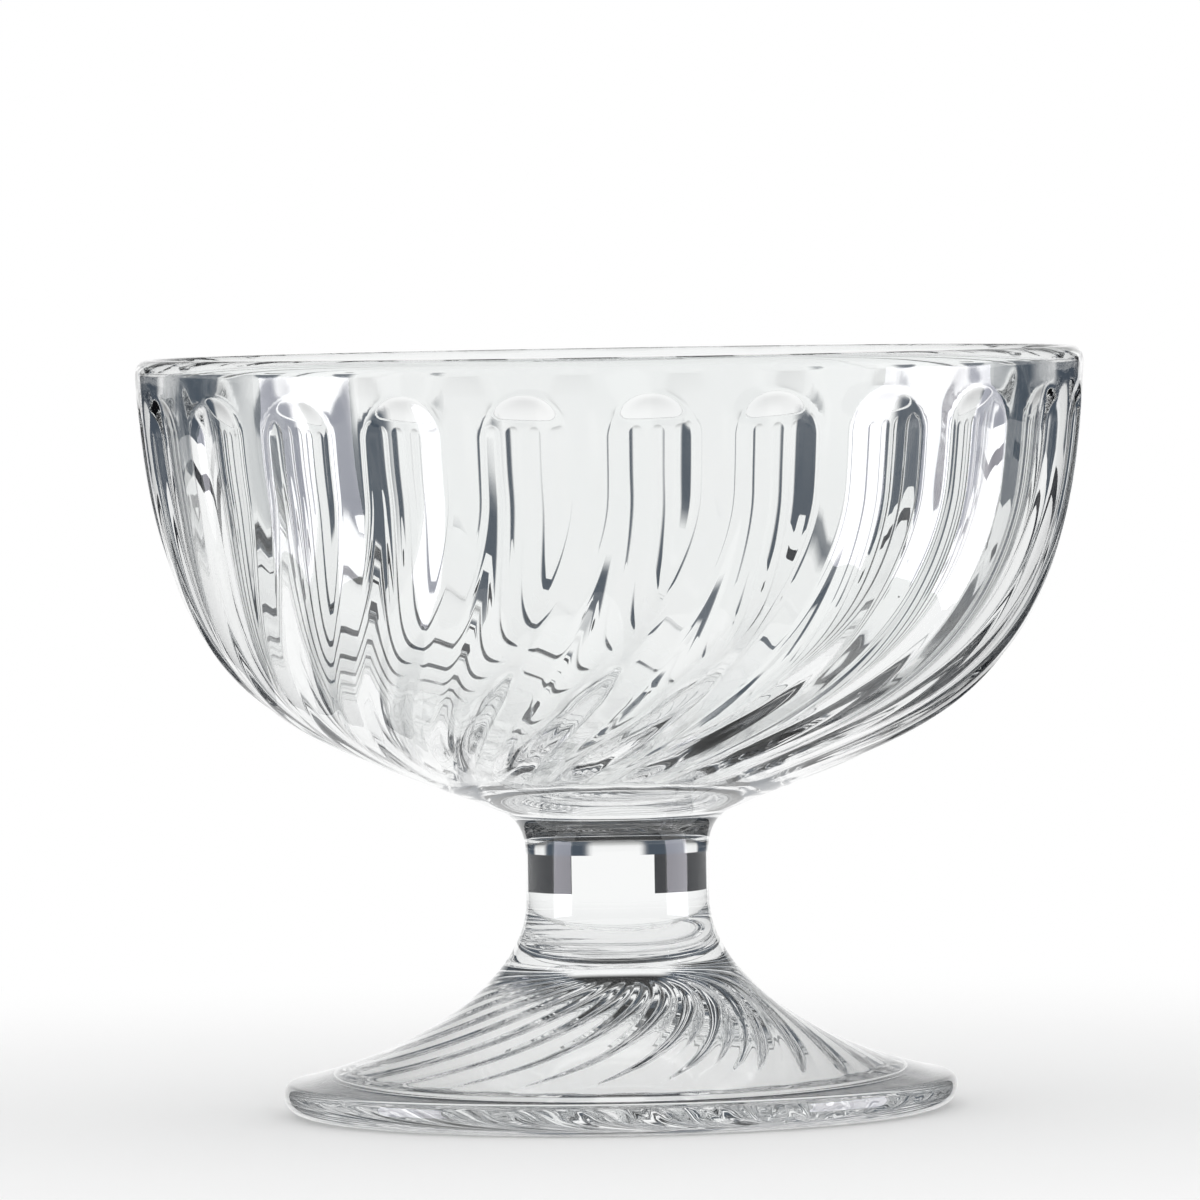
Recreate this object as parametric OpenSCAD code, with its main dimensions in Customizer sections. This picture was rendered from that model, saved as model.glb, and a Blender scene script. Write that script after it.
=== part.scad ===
// Pressed ice cream glass on a short stem, with swirled flutes on the bowl and under the foot.
// The origin is the centre of the standing ring, and +Z is up along the axis. Millimetres.

/* [Overall] */
// Height from the table to the top of the rim
total_h = 84; // [78:0.5:92]
// Height of the foot section, up to its seam with the stem
foot_h = 17.5; // [16.5:0.1:19]
// Height of the stem section, from seam to seam
stem_h = 12.8; // [11.5:0.1:15]

/* [Bowl] */
// Diameter of the bowl at the rim
bowl_d = 105; // [96:0.5:114]
// Thickness of the rounded rim
rim_t = 3; // [2.6:0.1:3.6]
// Flat land left on the crest of the rim by fire polishing
rim_land = 0.3; // [0.2:0.05:0.6]
// Thickness of the wall where the bowl turns in to its underside
wall_t = 3.8; // [3.2:0.1:4.4]
// Thickness of the floor above the stem seam, on the axis
floor_t = 7.5; // [6.5:0.1:8.5]
// Diameter at which the underside starts to curve into the stem
collar_d = 25.6; // [23:0.2:29]
// Height of that place above the stem seam
collar_h = 3; // [2.4:0.1:3.8]

/* [Bowl flutes] */
// Number of flutes round the bowl
flute_count = 24; // [16:1:30]
// Depth of a flute at the rim end
flute_depth = 0.9; // [0.4:0.05:1.2]
// Distance from the top of the rim down to the arched ends of the flutes
flute_top_gap = 4; // [3:0.1:6]
// Angle by which the flutes would turn between the rim and the stem
flute_turn_angle = 47; // [20:1:60]
// Angle from +X to the middle of the first flute
flute_phase = 4.8; // [0:0.1:15]

/* [Stem] */
// Diameter of the stem
stem_d = 20.3; // [18:0.1:23]
// Height above the foot seam at which the stem starts to flare
flare_rise = 6; // [5:0.1:7]
// Length of the curve between the stem and the underside of the bowl
neck_curve_h = 4.7; // [4:0.1:6]

/* [Foot] */
// Diameter of the foot
foot_d = 74.7; // [70:0.1:82]
// Height of the widest line of the foot
edge_mid_h = 2.3; // [1.8:0.1:2.6]
// Height at which the rounded edge meets the upper slope
edge_top_h = 3.6; // [3.2:0.1:4.4]
// Distance that the rounded edge draws in above the widest line
edge_top_inset = 0.75; // [0.5:0.05:1.2]
// Outer diameter of the flat standing ring
ring_d = 69; // [66:0.1:69.5]
// Diameter of the hollow under the foot
hollow_d = 62; // [58:0.1:64]
// Height of the hollow on the axis
hollow_h = 12.3; // [10:0.1:13.5]
// Height of the plain wall at the mouth of the hollow
mouth_h = 1; // [0.8:0.05:1.3]
// Width of the plain ledge between that wall and the flutes
mouth_ledge = 1.4; // [1:0.1:2]

/* [Foot flutes] */
// Number of flutes under the foot
foot_flute_count = 24; // [16:1:28]
// Depth of a flute under the foot
foot_flute_depth = 0.6; // [0.3:0.05:0.9]
// Angle by which the flutes turn between the axis and the standing ring
foot_flute_turn_angle = 75; // [30:1:90]
// Angle from +X to the middle of the first flute
foot_flute_phase = 6; // [0:0.1:15]

/* [Hidden] */
$fn = 96;
glass_colour = [0.84, 0.91, 0.92, 0.45];

// Radii and heights that follow from the sizes above
bowl_r = bowl_d / 2;
stem_r = stem_d / 2;
foot_r = foot_d / 2;
ring_r = ring_d / 2;
hollow_r = hollow_d / 2;
rim_r = rim_t / 2;
stem_seam_z = foot_h + stem_h;
collar_z = stem_seam_z + collar_h;
rim_round_z = total_h - rim_r;
floor_z = stem_seam_z + floor_t;
flare_z = foot_h + flare_rise;
slope_r = foot_r - edge_top_inset;

// Small ledge where one mould part meets the next
mould_ledge = 0.05;
// How far a cut runs past the face that it opens
overrun = 2;

// Counts of points along the curves
rim_steps = 6;
band_steps = 3;
cavity_steps = 22;
floor_steps = 7;
curve_steps = 6;
flare_steps = 14;
flute_rows = 16;
foot_flute_rows = 12;

// A cubic curve with control points c, its direction, and the place on it at height z
function on_curve(c, t) =
    pow(1 - t, 3) * c[0] + 3 * t * pow(1 - t, 2) * c[1] + 3 * t * t * (1 - t) * c[2] + pow(t, 3) * c[3];
function heading(c, t) =
    3 * pow(1 - t, 2) * (c[1] - c[0]) + 6 * t * (1 - t) * (c[2] - c[1]) + 3 * t * t * (c[3] - c[2]);
function place_at(c, z, t = 0.5, tries = 12) =
    tries == 0 ? t
    : place_at(c, z, max(0, min(1, t - (on_curve(c, t).y - z) / heading(c, t).y)), tries - 1);
function curve_points(c, from, to, steps) =
    [for (i = [0:steps]) on_curve(c, from + (to - from) * i / steps)];
// Unit direction at a right angle to the curve, to the right of someone who walks along it
function side(c, t) = let (h = heading(c, t)) [h.y, -h.x] / norm(h);
function arc_points(centre, r, from, to, steps) =
    [for (i = [0:steps]) let (a = from + (to - from) * i / steps) centre + r * [cos(a), sin(a)]];
// Angle from the outward direction to straight up
top_angle = 90;

// Outside of the bowl, from the rim down to the collar
bowl_upper_shares = [0.971, 0.2];
bowl_lower_shares = [0.642, 0.179];
bowl_h = rim_round_z - collar_z;
bowl_curve = [
    [bowl_r, rim_round_z],
    [bowl_r * bowl_upper_shares.x, collar_z + bowl_h * bowl_upper_shares.y],
    [bowl_r * bowl_lower_shares.x, collar_z + bowl_h * bowl_lower_shares.y],
    [collar_d / 2, collar_z]
];

// Curve from the collar down into the stem, tangent to both
neck_corner_z = collar_z - (collar_d / 2 - stem_r) * heading(bowl_curve, 1).y / heading(bowl_curve, 1).x;
neck_curve = [
    [collar_d / 2, collar_z],
    [(collar_d / 2 + 2 * stem_r) / 3, (collar_z + 2 * neck_corner_z) / 3],
    [stem_r, (collar_z - neck_curve_h + 2 * neck_corner_z) / 3],
    [stem_r, collar_z - neck_curve_h]
];

// Flare from the stem down to the edge of the foot
flare_upper_share = 0.437;
flare_lower_shares = [0.433, 0.158];
flare_curve = [
    [stem_r, flare_z],
    [stem_r, flare_z - (flare_z - edge_top_h) * flare_upper_share],
    [stem_r + (slope_r - stem_r) * flare_lower_shares.x,
     edge_top_h + (flare_z - edge_top_h) * flare_lower_shares.y],
    [slope_r, edge_top_h]
];

// Rounded edge of the foot, above and below its widest line
round_share = 0.6;
edge_top_curve = [
    [slope_r, edge_top_h],
    [slope_r + edge_top_inset * round_share,
     edge_top_h + edge_top_inset * round_share * heading(flare_curve, 1).y / heading(flare_curve, 1).x],
    [foot_r, edge_mid_h + (edge_top_h - edge_mid_h) * round_share],
    [foot_r, edge_mid_h]
];
edge_low_curve = [
    [foot_r, edge_mid_h],
    [foot_r, edge_mid_h * (1 - round_share)],
    [ring_r + (foot_r - ring_r) * round_share, 0],
    [ring_r, 0]
];

// Hollow under the foot, from the axis out to its ledge
hollow_upper_share = 0.44;
hollow_lower_shares = [0.58, 0.46];
ledge_r = hollow_r - mouth_ledge;
ledge_z = mouth_h / 2;
hollow_curve = [
    [0, hollow_h],
    [ledge_r * hollow_upper_share, hollow_h],
    [ledge_r * hollow_lower_shares.x, ledge_z + (hollow_h - ledge_z) * hollow_lower_shares.y],
    [ledge_r, ledge_z]
];

// Flutes are round-bottomed, and take the same share of each pitch all the way down
flute_width_share = 0.667;
column_shares = [-1, -0.6, -0.2, 0.2, 0.6, 1];
function columns(count) =
    [for (i = [0:count - 1]) each [
        for (u = column_shares) [u, (i + u * flute_width_share / 2) * 360 / count],
        [1, (i + 0.5) * 360 / count]
    ]];

// A solid through rings of points that are listed from the top down
module lofted(rings) {
    n = len(rings[0]);
    last = (len(rings) - 1) * n;
    polyhedron(
        points = [for (ring = rings) each ring],
        faces = [
            [for (j = [n - 1:-1:0]) j],
            for (k = [0:len(rings) - 2], j = [0:n - 1])
                each let (a = k * n + j, b = k * n + (j + 1) % n) [[a, b, b + n], [a, b + n, a + n]],
            [for (j = [0:n - 1]) last + j]
        ]
    );
}

// Where the flutes of the bowl start, turn and fade out, as places on the bowl's curve
flute_pitch_w = 2 * PI * bowl_r / flute_count;
arch_r = flute_pitch_w * flute_width_share / 2;
arch_z = total_h - flute_top_gap - arch_r;
band_top_gap_share = 0.85;
band_top = place_at(bowl_curve, total_h - flute_top_gap * band_top_gap_share);
band_end_share = 0.9;
band_lap_share = 0.5;
fade_from_share = 0.6;
turn_from_share = 0.13;
turn_power = 1.5;
row_power = 1.5;

function flute_top(u) = place_at(bowl_curve, arch_z + arch_r * sqrt(max(0, 1 - u * u)));
function turn_at(t) = flute_turn_angle * pow(max(0, t - turn_from_share) / (1 - turn_from_share), turn_power);
function fade_at(t) =
    t < fade_from_share ? 1
    : pow(cos(top_angle * min(1, (t - fade_from_share) / (band_end_share - fade_from_share))), 2);
function depth_at(u, t) =
    let (p = on_curve(bowl_curve, t), v = max(0, p.y - arch_z) / arch_r)
    flute_depth * p.x / bowl_r * max(0, 1 - u * u - v * v) * fade_at(t);

function band_point(column, t) =
    let (
        p = on_curve(bowl_curve, t) + side(bowl_curve, t) * depth_at(column[0], t) - [mould_ledge, 0],
        a = flute_phase + column[1] - turn_at(t)
    )
    [p.x * cos(a), p.x * sin(a), p.y];

function plain_ring(t) = [for (column = columns(flute_count)) band_point(column, t)];
function flute_ring(share) = [
    for (column = columns(flute_count))
        let (top = flute_top(column[0]))
        band_point(column, top + (band_end_share - top) * share)
];

// The fluted part of the bowl, which runs a little way into the plain parts above and below it
module fluted_band() {
    lofted([
        plain_ring(band_top * band_lap_share),
        for (row = [0:flute_rows]) flute_ring(pow(row / flute_rows, row_power)),
        plain_ring(1 - (1 - band_end_share) * band_lap_share)
    ]);
}

// The top of the bowl above the flutes, filled to the axis
module rim_ring() {
    rotate_extrude() polygon([
        [0, on_curve(bowl_curve, band_top).y],
        each curve_points(bowl_curve, band_top, 0, band_steps),
        each arc_points([bowl_r - rim_r, rim_round_z], rim_r,
            top_angle / rim_steps, top_angle - asin(rim_land / rim_t), rim_steps - 1),
        [bowl_r - rim_r + rim_land / 2, total_h],
        [0, total_h]
    ]);
}

// The underside below the flutes, down to the seam with the stem
module collar() {
    seam_t = place_at(neck_curve, stem_seam_z);
    rotate_extrude() polygon([
        [0, stem_seam_z],
        each curve_points(neck_curve, seam_t, 0, curve_steps),
        on_curve(bowl_curve, band_end_share),
        [0, on_curve(bowl_curve, band_end_share).y]
    ]);
}

// Inside of the bowl: the wall thickens from the rim down, then runs out level on the floor
floor_share = 0.88;
wall_full_share = 0.55;
function wall_at(t) = rim_t + (wall_t - rim_t) * min(1, t / wall_full_share);
function inside_point(t) = on_curve(bowl_curve, t) + side(bowl_curve, t) * wall_at(t);
floor_edge = inside_point(floor_share);
floor_heading = heading(bowl_curve, floor_share);
floor_corner_r = floor_edge.x - (floor_edge.y - floor_z) * floor_heading.x / floor_heading.y;
floor_curve = [
    floor_edge,
    [(floor_edge.x + 2 * floor_corner_r) / 3, (floor_edge.y + 2 * floor_z) / 3],
    [2 * floor_corner_r / 3, floor_z],
    [0, floor_z]
];

module bowl_cavity() {
    rotate_extrude() polygon([
        each [for (i = [floor_steps:-1:1]) on_curve(floor_curve, i / floor_steps)],
        each [for (i = [cavity_steps:-1:1]) inside_point(floor_share * i / cavity_steps)],
        each arc_points([bowl_r - rim_r, rim_round_z], rim_r,
            2 * top_angle - top_angle / rim_steps, top_angle + asin(rim_land / rim_t), rim_steps - 1),
        [bowl_r - rim_r - rim_land / 2, total_h],
        [bowl_r - rim_r - rim_land / 2, total_h + overrun],
        [0, total_h + overrun]
    ]);
}

module bowl() {
    color(glass_colour) difference() {
        union() {
            rim_ring();
            fluted_band();
            collar();
        }
        bowl_cavity();
    }
}

module stem() {
    seam_t = place_at(neck_curve, stem_seam_z);
    foot_t = place_at(flare_curve, foot_h);
    color(glass_colour) rotate_extrude() polygon([
        [0, foot_h],
        each curve_points(flare_curve, foot_t, 0, curve_steps),
        each curve_points(neck_curve, 1, seam_t, curve_steps),
        [0, stem_seam_z]
    ]);
}

// The hollow's flutes deepen from nothing near the axis and run out at the ledge
hollow_inner_share = 0.12;
hollow_swell_share = 0.3;
hollow_fade_share = 0.2;
function hollow_depth_at(u, t) =
    foot_flute_depth * (1 - u * u) * min(1, (t - hollow_inner_share) / hollow_swell_share,
        (1 - t) / hollow_fade_share);

function hollow_ring(row) =
    let (
        t = hollow_inner_share + (1 - hollow_inner_share) * row / foot_flute_rows,
        base = on_curve(hollow_curve, t),
        out = -side(hollow_curve, t)
    )
    [for (column = columns(foot_flute_count))
        let (p = base + out * hollow_depth_at(column[0], t),
             a = foot_flute_phase + column[1] - foot_flute_turn_angle * t)
        [p.x * cos(a), p.x * sin(a), p.y]];

module foot_body() {
    foot_t = place_at(flare_curve, foot_h);
    rotate_extrude() polygon([
        [0, 0],
        each curve_points(edge_low_curve, 1, 0, curve_steps),
        each [for (i = [curve_steps - 1:-1:1]) on_curve(edge_top_curve, i / curve_steps)],
        each curve_points(flare_curve, 1, foot_t, flare_steps),
        [0, foot_h]
    ]);
}

module foot() {
    color(glass_colour) difference() {
        foot_body();
        translate([0, 0, -overrun]) cylinder(r = hollow_r, h = overrun + mouth_h);
        lofted([for (row = [0:foot_flute_rows]) hollow_ring(row)]);
    }
}

bowl();
stem();
foot();
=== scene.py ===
import math

import bpy
from mathutils import Euler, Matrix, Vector


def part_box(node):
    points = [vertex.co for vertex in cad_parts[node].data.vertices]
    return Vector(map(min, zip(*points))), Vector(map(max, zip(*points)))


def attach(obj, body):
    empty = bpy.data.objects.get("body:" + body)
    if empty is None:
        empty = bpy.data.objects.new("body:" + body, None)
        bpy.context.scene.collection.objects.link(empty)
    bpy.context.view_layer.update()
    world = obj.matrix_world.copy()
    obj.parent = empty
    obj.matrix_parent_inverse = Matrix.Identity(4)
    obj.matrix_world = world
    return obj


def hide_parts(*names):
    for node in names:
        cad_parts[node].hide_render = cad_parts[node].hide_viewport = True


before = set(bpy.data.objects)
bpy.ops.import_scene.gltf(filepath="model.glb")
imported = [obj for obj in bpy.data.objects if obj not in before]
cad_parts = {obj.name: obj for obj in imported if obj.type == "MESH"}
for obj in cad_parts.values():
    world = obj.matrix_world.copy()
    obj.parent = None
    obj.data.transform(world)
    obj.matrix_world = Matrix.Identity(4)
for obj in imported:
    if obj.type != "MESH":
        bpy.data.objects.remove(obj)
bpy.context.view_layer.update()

MM = 0.001

# Sizes from the frame, in metres
bowl_low, bowl_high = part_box("bowl")
_, foot_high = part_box("foot")
BOWL_R = bowl_high.x
FOOT_R = foot_high.x
TOTAL_H = bowl_high.z
STEM_SEAM_Z = bowl_low.z
FOOT_SEAM_Z = foot_high.z

# Driving sizes that the boxes don't give, in metres, and angles in degrees
RIM_T = 3.0 * MM
WALL_T = 3.8 * MM
FLOOR_T = 7.5 * MM
STEM_R = 10.15 * MM
COLLAR_R = 12.8 * MM
COLLAR_H = 3.0 * MM
NECK_CURVE_H = 4.7 * MM
FLARE_RISE = 6.0 * MM
EDGE_MID_H = 2.3 * MM
EDGE_TOP_H = 3.6 * MM
EDGE_TOP_INSET = 0.75 * MM
RING_R = 34.5 * MM
RING_CORNER_R = 0.25 * MM
HOLLOW_R = 31.0 * MM
HOLLOW_H = 12.3 * MM
MOUTH_H = 1.0 * MM
MOUTH_LEDGE = 1.4 * MM
FLUTE_COUNT = 24
FLUTE_DEPTH = 0.9 * MM
FLUTE_TOP_GAP = 4.0 * MM
FLUTE_TURN = 47.0
FLUTE_PHASE = 4.8
FOOT_FLUTE_COUNT = 24
FOOT_FLUTE_DEPTH = 0.6 * MM
FOOT_FLUTE_TURN = 75.0
FOOT_FLUTE_PHASE = 6.0

# Heights and radii that follow
RIM_R = RIM_T / 2
COLLAR_Z = STEM_SEAM_Z + COLLAR_H
RIM_ROUND_Z = TOTAL_H - RIM_R
FLOOR_Z = STEM_SEAM_Z + FLOOR_T
FLARE_Z = FOOT_SEAM_Z + FLARE_RISE
SLOPE_R = FOOT_R - EDGE_TOP_INSET
BOWL_H = RIM_ROUND_Z - COLLAR_Z
NECK_END_Z = COLLAR_Z - NECK_CURVE_H
LEDGE_R = HOLLOW_R - MOUTH_LEDGE
LEDGE_Z = MOUTH_H / 2


def on_curve(c, t):
    """Point of a cubic curve in the (radius, height) plane."""
    a, b, d, e = (1 - t) ** 3, 3 * t * (1 - t) ** 2, 3 * t * t * (1 - t), t ** 3
    return Vector((
        a * c[0][0] + b * c[1][0] + d * c[2][0] + e * c[3][0],
        a * c[0][1] + b * c[1][1] + d * c[2][1] + e * c[3][1],
    ))


def heading(c, t):
    """Direction of a cubic curve."""
    a, b, d = 3 * (1 - t) ** 2, 6 * t * (1 - t), 3 * t * t
    return Vector((
        a * (c[1][0] - c[0][0]) + b * (c[2][0] - c[1][0]) + d * (c[3][0] - c[2][0]),
        a * (c[1][1] - c[0][1]) + b * (c[2][1] - c[1][1]) + d * (c[3][1] - c[2][1]),
    ))


def side(c, t):
    """Unit direction to the right of someone who walks along the curve."""
    h = heading(c, t)
    return Vector((h.y, -h.x)).normalized()


def place_at(c, z, t=0.5, tries=14):
    """Where a curve reaches height z."""
    for _ in range(tries):
        t = min(1.0, max(0.0, t - (on_curve(c, t).y - z) / heading(c, t).y))
    return t


# Handles of the curves, as shares of their radius and height
BOWL_UPPER_SHARES = (0.971, 0.2)
BOWL_LOWER_SHARES = (0.642, 0.179)
FLARE_UPPER_SHARE = 0.437
FLARE_LOWER_SHARES = (0.433, 0.158)
EDGE_ROUND_SHARE = 0.6
HOLLOW_UPPER_SHARE = 0.44
HOLLOW_LOWER_SHARES = (0.58, 0.46)

BOWL_CURVE = [
    (BOWL_R, RIM_ROUND_Z),
    (BOWL_R * BOWL_UPPER_SHARES[0], COLLAR_Z + BOWL_H * BOWL_UPPER_SHARES[1]),
    (BOWL_R * BOWL_LOWER_SHARES[0], COLLAR_Z + BOWL_H * BOWL_LOWER_SHARES[1]),
    (COLLAR_R, COLLAR_Z),
]
bowl_end = heading(BOWL_CURVE, 1)
NECK_CORNER_Z = COLLAR_Z - (COLLAR_R - STEM_R) * bowl_end.y / bowl_end.x
NECK_CURVE = [
    (COLLAR_R, COLLAR_Z),
    ((COLLAR_R + 2 * STEM_R) / 3, (COLLAR_Z + 2 * NECK_CORNER_Z) / 3),
    (STEM_R, (COLLAR_Z - NECK_CURVE_H + 2 * NECK_CORNER_Z) / 3),
    (STEM_R, NECK_END_Z),
]
FLARE_CURVE = [
    (STEM_R, FLARE_Z),
    (STEM_R, FLARE_Z - (FLARE_Z - EDGE_TOP_H) * FLARE_UPPER_SHARE),
    (
        STEM_R + (SLOPE_R - STEM_R) * FLARE_LOWER_SHARES[0],
        EDGE_TOP_H + (FLARE_Z - EDGE_TOP_H) * FLARE_LOWER_SHARES[1],
    ),
    (SLOPE_R, EDGE_TOP_H),
]
slope_end = heading(FLARE_CURVE, 1)
EDGE_TOP_CURVE = [
    (SLOPE_R, EDGE_TOP_H),
    (
        SLOPE_R + EDGE_TOP_INSET * EDGE_ROUND_SHARE,
        EDGE_TOP_H + EDGE_TOP_INSET * EDGE_ROUND_SHARE * slope_end.y / slope_end.x,
    ),
    (FOOT_R, EDGE_MID_H + (EDGE_TOP_H - EDGE_MID_H) * EDGE_ROUND_SHARE),
    (FOOT_R, EDGE_MID_H),
]
EDGE_LOW_CURVE = [
    (FOOT_R, EDGE_MID_H),
    (FOOT_R, EDGE_MID_H * (1 - EDGE_ROUND_SHARE)),
    (RING_R + (FOOT_R - RING_R) * EDGE_ROUND_SHARE, 0.0),
    (RING_R, 0.0),
]
HOLLOW_CURVE = [
    (0.0, HOLLOW_H),
    (LEDGE_R * HOLLOW_UPPER_SHARE, HOLLOW_H),
    (LEDGE_R * HOLLOW_LOWER_SHARES[0], LEDGE_Z + (HOLLOW_H - LEDGE_Z) * HOLLOW_LOWER_SHARES[1]),
    (LEDGE_R, LEDGE_Z),
]

# Flutes: places along the bowl's curve go from 0 at the rim to 1 at the collar
FLUTE_WIDTH_SHARE = 0.667
BAND_END = 0.9
FADE_FROM = 0.6
TURN_FROM = 0.13
TURN_POWER = 1.5
CREASE = 0.10
ARCH_R = 2 * math.pi * BOWL_R / FLUTE_COUNT * FLUTE_WIDTH_SHARE / 2
ARCH_Z = TOTAL_H - FLUTE_TOP_GAP - ARCH_R

# Flutes under the foot: places along the hollow's curve go from 0 at the axis to 1 at the ledge
SWELL_FROM = 0.12
SWELL_LENGTH = 0.3
RUN_OUT_LENGTH = 0.2


def above_zero(x, softness):
    """x where it is well above zero and 0 well below, with a rounded corner between."""
    return 0.5 * (x + math.sqrt(x * x + softness * softness))


def groove(u, v=0.0):
    """Round-bottomed groove: 1 in the middle, 0 past its edge, with a fire-polished crease."""
    peak = above_zero(1.0, CREASE)
    return above_zero(1 - u * u - v * v, CREASE) / peak


def flute_turn(t):
    return FLUTE_TURN * (max(0.0, t - TURN_FROM) / (1 - TURN_FROM)) ** TURN_POWER


def flute_fade(t):
    if t < FADE_FROM:
        return 1.0
    return math.cos(math.pi / 2 * min(1.0, (t - FADE_FROM) / (BAND_END - FADE_FROM))) ** 2


def pitch_place(j, per_flute):
    """Place of column j across its flute: 0 in the middle, 1 at the crease."""
    a = (j % per_flute) / per_flute
    a = a - 1 if a > 0.5 else a
    return abs(a) * 2 / FLUTE_WIDTH_SHARE


def polar(r, angle, z):
    return (r * math.cos(angle), r * math.sin(angle), z)


GLASS_SLOT = 0
SEAM_SLOT = 1


class Shell:
    """Rings of vertices with the same number of columns, joined into quads and closed by poles."""

    def __init__(self, columns):
        self.columns = columns
        self.verts = []
        self.faces = []
        self.slots = []

    def ring(self, points):
        start = len(self.verts)
        self.verts.extend(points)
        return start

    def plain_ring(self, r, z, first_angle=0.0):
        """Round ring with its column 0 at first_angle."""
        n = self.columns
        return self.ring([polar(r, first_angle + 2 * math.pi * j / n, z) for j in range(n)])

    def bands(self, rings):
        """Quads between each ring and the next, which face outward where the rings go down."""
        n = self.columns
        for upper, lower in zip(rings, rings[1:]):
            for j in range(n):
                k = (j + 1) % n
                self.faces.append((upper + j, lower + j, lower + k, upper + k))
                self.slots.append(GLASS_SLOT)

    def inner_bands(self, rings):
        """Quads between each ring and the next, which face inward where the rings go down."""
        n = self.columns
        for upper, lower in zip(rings, rings[1:]):
            for j in range(n):
                k = (j + 1) % n
                self.faces.append((lower + j, upper + j, upper + k, lower + k))
                self.slots.append(GLASS_SLOT)

    def pole(self, start, z, up, slot=GLASS_SLOT):
        """Fan from a ring to a point on the axis."""
        n = self.columns
        tip = len(self.verts)
        self.verts.append((0.0, 0.0, z))
        for j in range(n):
            k = (j + 1) % n
            face = (start + j, start + k, tip) if up else (start + k, start + j, tip)
            self.faces.append(face)
            self.slots.append(slot)

    def build(self, name, materials, sharp_rings):
        mesh = bpy.data.meshes.new(name)
        mesh.from_pydata(self.verts, [], self.faces)
        for material in materials:
            mesh.materials.append(material)
        for polygon, slot in zip(mesh.polygons, self.slots):
            polygon.material_index = slot
            polygon.use_smooth = slot == GLASS_SLOT
        n = self.columns
        sharp = set()
        for start in sharp_rings:
            for j in range(n):
                sharp.add(frozenset((start + j, start + (j + 1) % n)))
        for edge in mesh.edges:
            edge.use_edge_sharp = frozenset(edge.vertices) in sharp
        mesh.validate()
        obj = bpy.data.objects.new(name, mesh)
        bpy.context.scene.collection.objects.link(obj)
        return obj


def spread(first, last, count):
    """count places at even steps, from just after first to last."""
    return [first + (last - first) * (i / count) for i in range(1, count + 1)]


# Columns and rings of the bowl
BOWL_COLUMNS_PER_FLUTE = 20
RIM_STEPS = 16
ARCH_STEPS = 22
FLUTE_STEPS = 66
COLLAR_STEPS = 4
NECK_STEPS = 8
WALL_STEPS = 44
FLOOR_STEPS = 14

# Places along the bowl's curve where its floor starts and its wall has its full thickness
FLOOR_FROM = 0.88
WALL_FULL_FROM = 0.55
FLOOR_END = 0.98


def bowl_point(j, t):
    """Point of the fluted outside, at column j and place t on the bowl's curve."""
    p = on_curve(BOWL_CURVE, t)
    v = max(0.0, p.y - ARCH_Z) / ARCH_R
    across = groove(pitch_place(j, BOWL_COLUMNS_PER_FLUTE), v)
    depth = FLUTE_DEPTH * p.x / BOWL_R * across * flute_fade(t)
    p = p + side(BOWL_CURVE, t) * depth
    count = FLUTE_COUNT * BOWL_COLUMNS_PER_FLUTE
    angle = math.radians(FLUTE_PHASE - flute_turn(t)) + 2 * math.pi * j / count
    return polar(p.x, angle, p.y)


def inside_point(t):
    """Point of the smooth inside, across the wall from place t on the bowl's curve."""
    thickness = RIM_T + (WALL_T - RIM_T) * min(1.0, t / WALL_FULL_FROM)
    return on_curve(BOWL_CURVE, t) + side(BOWL_CURVE, t) * thickness


def bowl_outside(shell):
    """Rings from the inside of the rim's crest over and down the outside to the seam."""
    phase = math.radians(FLUTE_PHASE)
    rings = []
    for i in range(RIM_STEPS + 1):
        a = math.pi * (1 - i / RIM_STEPS)
        r = BOWL_R - RIM_R + RIM_R * math.cos(a)
        rings.append(shell.plain_ring(r, RIM_ROUND_Z + RIM_R * math.sin(a), phase))
    arch_end = place_at(BOWL_CURVE, ARCH_Z)
    places = spread(0.0, arch_end, ARCH_STEPS)
    places += spread(arch_end, BAND_END, FLUTE_STEPS)
    places += spread(BAND_END, 1.0, COLLAR_STEPS)
    for t in places:
        rings.append(shell.ring([bowl_point(j, t) for j in range(shell.columns)]))
    turned = phase - math.radians(flute_turn(1.0))
    for t in spread(0.0, place_at(NECK_CURVE, STEM_SEAM_Z), NECK_STEPS):
        p = on_curve(NECK_CURVE, t)
        rings.append(shell.plain_ring(p.x, p.y, turned))
    return rings


def bowl_inside(shell, rim):
    """Rings from the rim down the wall and over the floor."""
    phase = math.radians(FLUTE_PHASE)
    corner = inside_point(FLOOR_FROM)
    way = heading(BOWL_CURVE, FLOOR_FROM)
    corner_r = corner.x - (corner.y - FLOOR_Z) * way.x / way.y
    floor_curve = [
        tuple(corner),
        ((corner.x + 2 * corner_r) / 3, (corner.y + 2 * FLOOR_Z) / 3),
        (2 * corner_r / 3, FLOOR_Z),
        (0.0, FLOOR_Z),
    ]
    points = [inside_point(t) for t in spread(0.0, FLOOR_FROM, WALL_STEPS)]
    points += [on_curve(floor_curve, t) for t in spread(0.0, FLOOR_END, FLOOR_STEPS)]
    return [rim] + [shell.plain_ring(p.x, p.y, phase) for p in points]


def make_bowl(materials):
    shell = Shell(FLUTE_COUNT * BOWL_COLUMNS_PER_FLUTE)
    outer = bowl_outside(shell)
    shell.bands(outer)
    shell.pole(outer[-1], STEM_SEAM_Z, False, SEAM_SLOT)
    inner = bowl_inside(shell, outer[0])
    shell.inner_bands(inner)
    shell.pole(inner[-1], FLOOR_Z, True)
    return shell.build("bowl_glass", materials, sharp_rings=[outer[-1]])


# Columns and rings of the stem
STEM_COLUMNS = 288
STEM_STEPS = 14
FLARE_STEPS = 20


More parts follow.
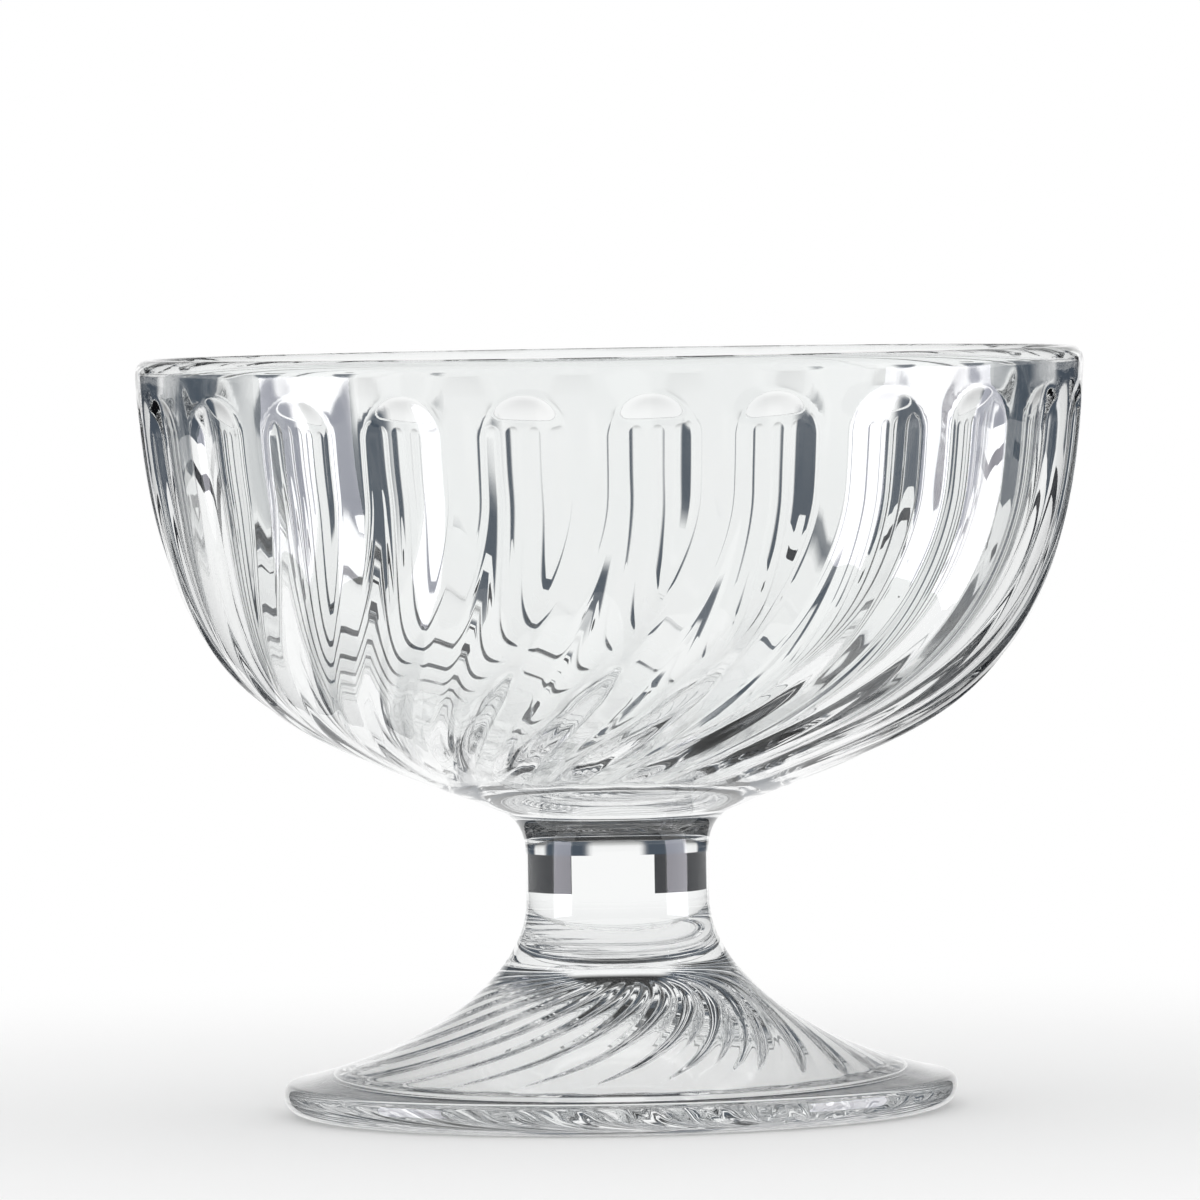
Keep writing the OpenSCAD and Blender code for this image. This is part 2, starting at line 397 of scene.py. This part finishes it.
def make_stem(materials):
    shell = Shell(STEM_COLUMNS)
    seam = place_at(NECK_CURVE, STEM_SEAM_Z)
    foot_seam = place_at(FLARE_CURVE, FOOT_SEAM_Z)
    points = [on_curve(NECK_CURVE, t) for t in [seam] + spread(seam, 1.0, NECK_STEPS)]
    points += [Vector((STEM_R, z)) for z in spread(NECK_END_Z, FLARE_Z, STEM_STEPS)]
    points += [on_curve(FLARE_CURVE, t) for t in spread(0.0, foot_seam, FLARE_STEPS)]
    rings = [shell.plain_ring(p.x, p.y) for p in points]
    shell.bands(rings)
    shell.pole(rings[0], STEM_SEAM_Z, True, SEAM_SLOT)
    shell.pole(rings[-1], FOOT_SEAM_Z, False, SEAM_SLOT)
    return shell.build("stem_glass", materials, sharp_rings=[rings[0], rings[-1]])


# Columns and rings of the foot
FOOT_COLUMNS_PER_FLUTE = 16
SLOPE_STEPS = 44
EDGE_STEPS = 12
RING_STEPS = 3
RING_CORNER_STEPS = 4
HOLLOW_STEPS = 60

# Place along the hollow's curve of its last ring before the axis, and a first guess for its mouth
HOLLOW_END = 0.03
MOUTH_GUESS = 0.9


def hollow_point(j, t):
    """Point of the fluted hollow under the foot."""
    swell = min(1.0, max(0.0, (t - SWELL_FROM) / SWELL_LENGTH))
    fade = min(1.0, (1 - t) / RUN_OUT_LENGTH)
    across = groove(pitch_place(j, FOOT_COLUMNS_PER_FLUTE))
    depth = FOOT_FLUTE_DEPTH * across * min(swell, fade)
    p = on_curve(HOLLOW_CURVE, t) - side(HOLLOW_CURVE, t) * depth
    count = FOOT_FLUTE_COUNT * FOOT_COLUMNS_PER_FLUTE
    angle = math.radians(FOOT_FLUTE_PHASE - FOOT_FLUTE_TURN * t) + 2 * math.pi * j / count
    return polar(p.x, angle, p.y)


def make_foot(materials):
    shell = Shell(FOOT_FLUTE_COUNT * FOOT_COLUMNS_PER_FLUTE)
    turned = math.radians(FOOT_FLUTE_PHASE - FOOT_FLUTE_TURN)
    foot_seam = place_at(FLARE_CURVE, FOOT_SEAM_Z)

    # Upper slope and rounded edge
    slope = [foot_seam] + spread(foot_seam, 1.0, SLOPE_STEPS)
    points = [on_curve(FLARE_CURVE, t) for t in slope]
    for curve in (EDGE_TOP_CURVE, EDGE_LOW_CURVE):
        points += [on_curve(curve, t) for t in spread(0.0, 1.0, EDGE_STEPS)]
    ring_out = len(points) - 1

    # Flat standing ring, with a small round at its inner corner
    flat = HOLLOW_R + RING_CORNER_R - RING_R
    points += [Vector((RING_R + flat * i / RING_STEPS, 0.0)) for i in range(1, RING_STEPS + 1)]
    ring_in = len(points) - 1
    for i in range(1, RING_CORNER_STEPS + 1):
        a = math.pi / 2 * i / RING_CORNER_STEPS
        r = HOLLOW_R + RING_CORNER_R * (1 - math.sin(a))
        points.append(Vector((r, RING_CORNER_R * (1 - math.cos(a)))))

    # Ledge round the mouth of the hollow
    points.append(Vector((HOLLOW_R, MOUTH_H)))
    meet = place_at(HOLLOW_CURVE, MOUTH_H, t=MOUTH_GUESS)
    ledge = on_curve(HOLLOW_CURVE, meet)
    for i in (1, 2):
        points.append(Vector((HOLLOW_R + (ledge.x - HOLLOW_R) * i / 3, MOUTH_H)))
    rings = [shell.plain_ring(p.x, p.y, turned) for p in points]

    # Fluted hollow
    for i in range(HOLLOW_STEPS + 1):
        t = meet + (HOLLOW_END - meet) * i / HOLLOW_STEPS
        rings.append(shell.ring([hollow_point(j, t) for j in range(shell.columns)]))
    shell.bands(rings)
    shell.pole(rings[0], FOOT_SEAM_Z, True, SEAM_SLOT)
    shell.pole(rings[-1], HOLLOW_H, False)
    return shell.build("foot_glass", materials, [rings[0], rings[ring_out], rings[ring_in]])


def new_material(name):
    """Empty material, with its node tree and output."""
    material = bpy.data.materials.new(name)
    material.use_nodes = True
    tree = material.node_tree
    tree.nodes.clear()
    return material, tree, tree.nodes.new("ShaderNodeOutputMaterial")


def link(tree, a, b):
    tree.links.new(a, b)


def sum_of(tree, operation, first, second, clamp=False):
    """Result of a math node on two values, each a number or another node's output."""
    node = tree.nodes.new("ShaderNodeMath")
    node.operation = operation
    node.use_clamp = clamp
    for place, value in enumerate((first, second)):
        if isinstance(value, bpy.types.NodeSocket):
            link(tree, value, node.inputs[place])
        else:
            node.inputs[place].default_value = value
    return node.outputs["Value"]


def mapped(tree, value, before, after, smooth=False):
    """Value carried from one range to another."""
    node = tree.nodes.new("ShaderNodeMapRange")
    if smooth:
        node.interpolation_type = "SMOOTHSTEP"
    node.inputs["From Min"].default_value, node.inputs["From Max"].default_value = before
    node.inputs["To Min"].default_value, node.inputs["To Max"].default_value = after
    link(tree, value, node.inputs["Value"])
    return node.outputs["Result"]


def noise(tree, place, scale, detail):
    node = tree.nodes.new("ShaderNodeTexNoise")
    node.inputs["Scale"].default_value = scale
    node.inputs["Detail"].default_value = detail
    link(tree, place, node.inputs["Vector"])
    return node


GLASS_IOR = 1.51
GLASS_TINTS = ((0.965, 0.982, 0.978, 1), (0.985, 0.988, 0.986, 1))
WAVE_SCALE = 90.0
STEM_WAVE_SCALE = 120.0
WAVE_DETAIL = 1.5
WAVE_ROUGHNESS = 0.35
WAVE_HEIGHT = 0.02 * MM
POLISH_SCALE = 240.0
POLISH_DETAIL = 3.0
POLISH_NOISE_RANGE = (0.45, 0.75)
POLISH_ROUGHNESS_RANGE = (0.0, 0.03)
WORN_BELOW = 0.6 * MM
WORN_ROUGHNESS = 0.22


def glass_material(name, wave_scale=WAVE_SCALE, worn_below=None):
    """Clear pressed glass, with faint waves left by the mould, an uneven polish and wear below a height."""
    material, tree, out = new_material(name)
    shader = tree.nodes.new("ShaderNodeBsdfPrincipled")
    shader.inputs["Transmission Weight"].default_value = 1.0
    shader.inputs["IOR"].default_value = GLASS_IOR
    link(tree, shader.outputs["BSDF"], out.inputs["Surface"])
    place = tree.nodes.new("ShaderNodeTexCoord").outputs["Object"]

    wave = noise(tree, place, wave_scale, WAVE_DETAIL)
    wave.inputs["Roughness"].default_value = WAVE_ROUGHNESS
    tint = tree.nodes.new("ShaderNodeValToRGB")
    for element, colour in zip(tint.color_ramp.elements, GLASS_TINTS):
        element.color = colour
    link(tree, wave.outputs["Fac"], tint.inputs["Fac"])
    link(tree, tint.outputs["Color"], shader.inputs["Base Color"])
    bump = tree.nodes.new("ShaderNodeBump")
    bump.inputs["Strength"].default_value = 1.0
    bump.inputs["Distance"].default_value = WAVE_HEIGHT
    link(tree, wave.outputs["Fac"], bump.inputs["Height"])
    link(tree, bump.outputs["Normal"], shader.inputs["Normal"])

    polish = noise(tree, place, POLISH_SCALE, POLISH_DETAIL).outputs["Fac"]
    roughness = mapped(tree, polish, POLISH_NOISE_RANGE, POLISH_ROUGHNESS_RANGE)
    if worn_below is not None:
        height = tree.nodes.new("ShaderNodeSeparateXYZ")
        link(tree, place, height.inputs["Vector"])
        worn = mapped(tree, height.outputs["Z"], (worn_below, 0.0), (0.0, WORN_ROUGHNESS))
        roughness = sum_of(tree, "ADD", roughness, worn)
    link(tree, roughness, shader.inputs["Roughness"])
    return material


def seam_material():
    """Where two sections are fused there is no surface, so light goes straight through."""
    material, tree, out = new_material("fused_seam")
    clear = tree.nodes.new("ShaderNodeBsdfTransparent")
    link(tree, clear.outputs["BSDF"], out.inputs["Surface"])
    return material


def lights_floor(tree, path):
    """1 for rays that have left the floor, so that they gather the light on it, and 0 for the others."""
    return sum_of(tree, "GREATER_THAN", path.outputs["Diffuse Depth"], 0.5)


FLOOR_COLOUR = (0.94, 0.94, 0.94, 1)
FLOOR_FADE = (0.10, 0.22)
FLOOR_R = 8.0
FLOOR_SIDES = 96
FLOOR_DROP = 0.05 * MM
FLOOR_IN_GLASS = 0.8
WHITE = (1, 1, 1, 1)


def floor_material():
    """Pale paper that turns into the white background, sooner in what shows through the glass."""
    material, tree, out = new_material("pale_floor")
    paper = tree.nodes.new("ShaderNodeBsdfDiffuse")
    paper.inputs["Color"].default_value = FLOOR_COLOUR
    white = tree.nodes.new("ShaderNodeEmission")
    white.inputs["Color"].default_value = WHITE
    place = tree.nodes.new("ShaderNodeTexCoord")
    length = tree.nodes.new("ShaderNodeVectorMath")
    length.operation = "LENGTH"
    link(tree, place.outputs["Object"], length.inputs[0])
    fade = mapped(tree, length.outputs["Value"], FLOOR_FADE, (0.0, 1.0), smooth=True)
    path = tree.nodes.new("ShaderNodeLightPath")
    transmitted = path.outputs["Is Transmission Ray"]
    least = sum_of(tree, "MULTIPLY", transmitted, FLOOR_IN_GLASS)
    share = sum_of(tree, "MAXIMUM", fade, least)
    # Rays that gather light for another surface see the paper alone
    seen = sum_of(tree, "MAXIMUM", path.outputs["Is Camera Ray"], path.outputs["Is Glossy Ray"])
    seen = sum_of(tree, "MAXIMUM", seen, transmitted)
    mix = tree.nodes.new("ShaderNodeMixShader")
    link(tree, sum_of(tree, "MULTIPLY", share, seen), mix.inputs["Fac"])
    link(tree, paper.outputs["BSDF"], mix.inputs[1])
    link(tree, white.outputs["Emission"], mix.inputs[2])
    link(tree, mix.outputs["Shader"], out.inputs["Surface"])
    return material


def make_floor():
    """Plain pale floor, just under the standing ring."""
    n = FLOOR_SIDES
    verts = [(0.0, 0.0, -FLOOR_DROP)]
    verts += [polar(FLOOR_R, 2 * math.pi * j / n, -FLOOR_DROP) for j in range(n)]
    mesh = bpy.data.meshes.new("floor")
    mesh.from_pydata(verts, [], [(0, 1 + j, 1 + (j + 1) % n) for j in range(n)])
    mesh.materials.append(floor_material())
    floor = bpy.data.objects.new("floor", mesh)
    floor.visible_glossy = False
    bpy.context.scene.collection.objects.link(floor)


# The ceiling dims between these heights on a sphere round the glass, to this strength
CEILING_HEIGHTS = (0.06, 0.4)
CEILING_STRENGTH = 0.03


def make_world():
    """An even white studio, whose ceiling is dimmer in what the glass shows."""
    world = bpy.data.worlds.new("studio")
    bpy.context.scene.world = world
    world.use_nodes = True
    tree = world.node_tree
    tree.nodes.clear()
    out = tree.nodes.new("ShaderNodeOutputWorld")
    shown = tree.nodes.new("ShaderNodeBackground")
    shown.inputs["Color"].default_value = WHITE
    place = tree.nodes.new("ShaderNodeTexCoord")
    height = tree.nodes.new("ShaderNodeSeparateXYZ")
    link(tree, place.outputs["Generated"], height.inputs["Vector"])
    ceiling = mapped(
        tree, height.outputs["Z"], CEILING_HEIGHTS, (1.0, CEILING_STRENGTH), smooth=True
    )
    path = tree.nodes.new("ShaderNodeLightPath")
    in_glass = sum_of(
        tree, "MAXIMUM", path.outputs["Is Glossy Ray"], path.outputs["Is Transmission Ray"]
    )
    dims = sum_of(tree, "SUBTRACT", in_glass, lights_floor(tree, path), clamp=True)
    strength = tree.nodes.new("ShaderNodeMix")
    strength.data_type = "FLOAT"
    link(tree, dims, strength.inputs["Factor"])
    strength.inputs["A"].default_value = 1.0
    link(tree, ceiling, strength.inputs["B"])
    link(tree, strength.outputs["Result"], shown.inputs["Strength"])
    link(tree, shown.outputs["Background"], out.inputs["Surface"])


def card_material(name, colour, strength):
    """Glowing or dark cloth, clear where its opacity is 0 and for rays that gather the floor's light."""
    material, tree, out = new_material(name)
    glow = tree.nodes.new("ShaderNodeEmission")
    glow.inputs["Color"].default_value = (*colour, 1)
    glow.inputs["Strength"].default_value = strength
    clear = tree.nodes.new("ShaderNodeBsdfTransparent")
    path = tree.nodes.new("ShaderNodeLightPath")
    opacity = tree.nodes.new("ShaderNodeAttribute")
    opacity.attribute_name = "opacity"
    seen = sum_of(
        tree, "SUBTRACT", opacity.outputs["Fac"], lights_floor(tree, path), clamp=True
    )
    mix = tree.nodes.new("ShaderNodeMixShader")
    link(tree, seen, mix.inputs["Fac"])
    link(tree, clear.outputs["BSDF"], mix.inputs[1])
    link(tree, glow.outputs["Emission"], mix.inputs[2])
    link(tree, mix.outputs["Shader"], out.inputs["Surface"])
    return material


def soft_edge(place, edge):
    """Opacity across a card: 0 at its edge, rising smoothly to 1 over the share edge of its width."""
    if edge == 0:
        return 1.0
    t = min(1.0, place / edge, (1 - place) / edge)
    return t * t * (3 - 2 * t)


# Cards: azimuths in degrees from +X round to +Y, heights and distances in metres
CARD_STEPS = 24
QUARTER = 90
SOFTBOX_COLOUR = (0.93, 0.91, 1.0)
SOFTBOX_STRENGTH = 5.5
SOFTBOX_DISTANCE = 0.30
SOFTBOX_HEIGHTS = (-0.10, 0.075)
SOFTBOX_RIGHT = (-26, 7)
SOFTBOX_LEFT = (184, 210)
BLACK_COLOUR = (0.8, 0.85, 1.0)
BLACK_STRENGTH = 0.035
BLACK_DISTANCE = SOFTBOX_DISTANCE * 1.1
BLACK_HEIGHTS = (-0.3, 0.5)
BLACK_SPANS = ((212, 332), (9, 62), (118, 181))
FLAG_COLOUR = (0.62, 0.78, 1.0)
FLAG_STRENGTH = 0.12
FLAG_DISTANCE = 0.6
FLAG_HEIGHTS = (0.0, 0.7)
FLAG_SPANS = ((9, 38), (48, 80))
FLAG_EDGE = 0.15
STRIP_DISTANCE = 0.38
STRIP_HEIGHTS = (0.0, 0.0105)
STRIP_SPAN = (15.8, 69.5)


def turned_span(span, quarters):
    return tuple(azimuth + QUARTER * quarters for azimuth in span)


def add_card(name, material, azimuths, heights, distance, reflected, edge=0.0):
    """Upright curved card round the glass, seen only in its reflections or only through it."""
    verts = []
    opacity = []
    for k in range(CARD_STEPS + 1):
        a = math.radians(azimuths[0] + (azimuths[1] - azimuths[0]) * k / CARD_STEPS)
        for height in heights:
            verts.append(polar(distance, a, height))
            opacity.append(soft_edge(k / CARD_STEPS, edge))
    faces = [(2 * k, 2 * k + 1, 2 * k + 3, 2 * k + 2) for k in range(CARD_STEPS)]
    mesh = bpy.data.meshes.new(name)
    mesh.from_pydata(verts, [], faces)
    mesh.attributes.new("opacity", "FLOAT", "POINT").data.foreach_set("value", opacity)
    mesh.materials.append(material)
    card = bpy.data.objects.new(name, mesh)
    card.visible_camera = False
    card.visible_diffuse = False
    card.visible_shadow = False
    card.visible_glossy = reflected
    card.visible_transmission = not reflected
    bpy.context.scene.collection.objects.link(card)


def make_cards():
    """Two upright softboxes beside the glass, and black and grey cards that draw its dark lines."""
    lit = card_material("softbox_cloth", SOFTBOX_COLOUR, SOFTBOX_STRENGTH)
    black = card_material("black_card", BLACK_COLOUR, BLACK_STRENGTH)
    grey = card_material("grey_flag", FLAG_COLOUR, FLAG_STRENGTH)
    # Only reflections see these
    for name, span in (("softbox_right", SOFTBOX_RIGHT), ("softbox_left", SOFTBOX_LEFT)):
        add_card(name, lit, span, SOFTBOX_HEIGHTS, SOFTBOX_DISTANCE, reflected=True)
    for i, span in enumerate(BLACK_SPANS):
        add_card(f"black_card_{i}", black, span, BLACK_HEIGHTS, BLACK_DISTANCE, reflected=True)
    # Only what shows through the glass sees these
    for i in range(4):
        for k, span in enumerate(FLAG_SPANS):
            add_card(
                f"grey_flag_{i}_{k}", grey, turned_span(span, i), FLAG_HEIGHTS, FLAG_DISTANCE,
                reflected=False, edge=FLAG_EDGE,
            )
    for i in range(2):
        add_card(
            f"black_strip_{i}", black, turned_span(STRIP_SPAN, i), STRIP_HEIGHTS,
            STRIP_DISTANCE, reflected=False,
        )


SENSOR_WIDTH = 36.0
IMAGE_SIDE = 1200
CAMERA_FOCAL_PX = 10509.0
CAMERA_DISTANCE = 1164 * MM
CAMERA_HEIGHT = 96 * MM
CAMERA_SIDE = -1.43 * MM
CAMERA_PITCH = 1.94
CAMERA_ROLL = -0.95


def make_camera():
    """Long lens a little above the rim, tilted down and rolled as in the photograph."""
    camera = bpy.data.cameras.new("camera")
    camera.sensor_width = SENSOR_WIDTH
    camera.lens = CAMERA_FOCAL_PX / IMAGE_SIDE * camera.sensor_width
    obj = bpy.data.objects.new("camera", camera)
    aim = Euler((math.radians(90 - CAMERA_PITCH), 0, 0)).to_matrix()
    roll = Euler((0, 0, math.radians(CAMERA_ROLL))).to_matrix()
    obj.rotation_euler = (aim @ roll).to_euler()
    obj.location = (CAMERA_SIDE, -CAMERA_DISTANCE, CAMERA_HEIGHT)
    bpy.context.scene.collection.objects.link(obj)
    bpy.context.scene.camera = obj


def make_view():
    """View transform, and enough light bounces for clear glass."""
    scene = bpy.context.scene
    scene.view_settings.view_transform = "Standard"
    scene.cycles.max_bounces = 32
    scene.cycles.transmission_bounces = 32
    scene.cycles.glossy_bounces = 16
    scene.cycles.transparent_max_bounces = 32


make_camera()
seam = seam_material()
pieces = {
    "bowl": make_bowl([glass_material("bowl_glass_finish"), seam]),
    "stem": make_stem([glass_material("stem_glass_finish", STEM_WAVE_SCALE), seam]),
    "foot": make_foot([glass_material("foot_glass_finish", worn_below=WORN_BELOW), seam]),
}
for node, piece in pieces.items():
    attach(piece, "root")
    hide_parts(node)

make_floor()
make_world()
make_cards()
make_view()
